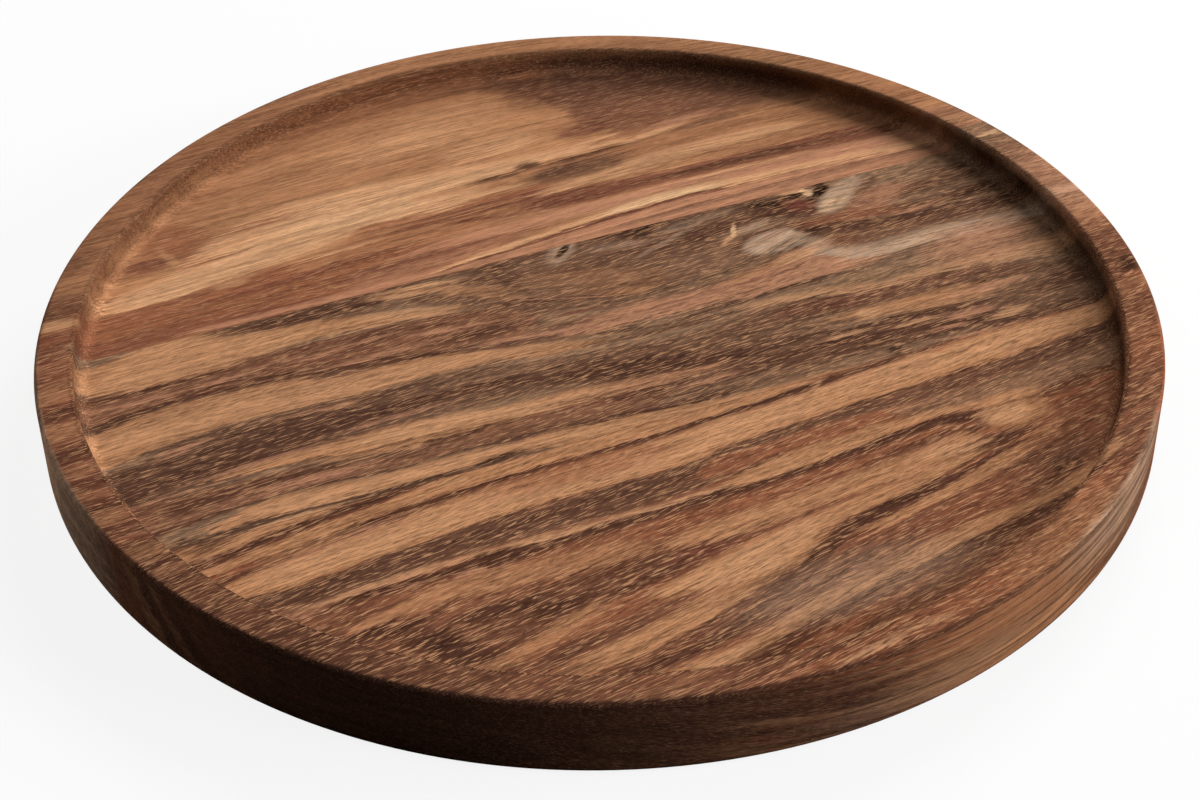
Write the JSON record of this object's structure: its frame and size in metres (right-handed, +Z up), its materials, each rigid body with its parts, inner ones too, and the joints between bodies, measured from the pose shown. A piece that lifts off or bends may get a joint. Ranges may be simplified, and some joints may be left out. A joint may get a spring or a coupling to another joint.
{
  "type": "pizza serving board",
  "caption": "Round wooden serving board with a flat raised rim round a shallow flat recess that holds a pizza, made of hardwood staves glued edge to edge.",
  "frame": {"origin": "centre of the underside, on the surface that the board stands on", "axes": "+Z up, square to the board; +X along the grain and the glue lines; +Y across the staves, from the front stave to the rear stave"},
  "size_m": [0.356, 0.356, 0.026],
  "materials": {
    "rear_stave_wood": "oiled acacia, honey and tan with reddish bands, satin",
    "middle_stave_wood": "oiled acacia, grey-brown and umber with a tan band and pale knots, satin",
    "front_stave_wood": "oiled acacia, chestnut with tan bands and dark streaks, satin",
    "dried_glue": "dried wood glue, amber, sanded flush"
  },
  "bodies": {
    "root": {"rear_stave": "rear_stave_wood", "rear_glue_line": "dried_glue", "middle_stave": "middle_stave_wood", "front_glue_line": "dried_glue", "front_stave": "front_stave_wood"}
  },
  "joints": []
}
